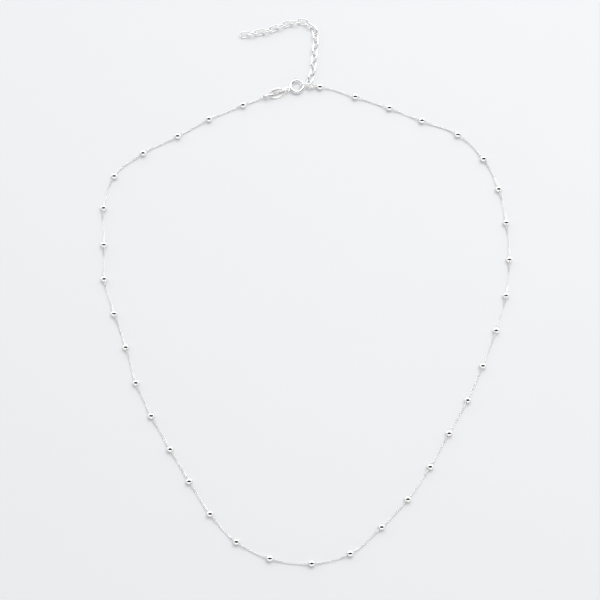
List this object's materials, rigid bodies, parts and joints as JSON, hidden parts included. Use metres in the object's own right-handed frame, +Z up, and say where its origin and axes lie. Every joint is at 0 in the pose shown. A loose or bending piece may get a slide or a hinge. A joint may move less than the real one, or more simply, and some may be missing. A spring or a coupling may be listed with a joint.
{
  "type": "ball chain necklace",
  "caption": "Fine bright metal neck chain threaded through small, evenly spaced round beads, with an oval tag, a spring ring and a free chain of oval links to lengthen it.",
  "frame": {"origin": "below the middle of the whole outline, on the surface that the necklace lies on", "axes": "+Z up from the surface, +Y from the bottom of the neck loop towards the spring ring and the free links, +X to the right seen from the front"},
  "size_m": [0.1306, 0.1822, 0.0028],
  "materials": {
    "beads": "polished silver",
    "fine_chain": "polished silver wire",
    "rings": "polished silver wire",
    "tag": "polished silver sheet",
    "clasp": "polished silver tube",
    "clasp_bolt": "polished silver wire",
    "links": "polished silver wire"
  },
  "bodies": {
    "necklace": {"bead_01": "beads", "bead_02": "beads", "bead_03": "beads", "bead_04": "beads", "bead_05": "beads", "bead_06": "beads", "bead_07": "beads", "bead_08": "beads", "bead_09": "beads", "bead_10": "beads", "bead_11": "beads", "bead_12": "beads", "bead_13": "beads", "bead_14": "beads", "bead_15": "beads", "bead_16": "beads", "bead_17": "beads", "bead_18": "beads", "bead_19": "beads", "bead_20": "beads", "bead_21": "beads", "bead_22": "beads", "bead_23": "beads", "bead_24": "beads", "bead_25": "beads", "bead_26": "beads", "bead_27": "beads", "bead_28": "beads", "bead_29": "beads", "bead_30": "beads", "bead_31": "beads", "bead_32": "beads", "bead_33": "beads", "bead_34": "beads", "bead_35": "beads", "bead_36": "beads", "chain_left": "fine_chain", "chain_right": "fine_chain", "tag_ring_left": "rings", "oval_tag": "tag", "tag_ring_right": "rings", "clasp_body": "clasp", "link_ring": "rings", "link_chain": "links"},
    "bolt": {"clasp_bolt": "clasp_bolt"}
  },
  "joints": [
    {"name": "clasp_bolt", "type": "hinge", "parent": "necklace", "child": "bolt", "pos_m": [-0.00277, 0.06662, 0.00105], "axis": [0, 0, 1], "range_deg": [0, 56], "stiffness_Nm_per_rad": 0.0005, "springref_deg": -5.73}
  ]
}
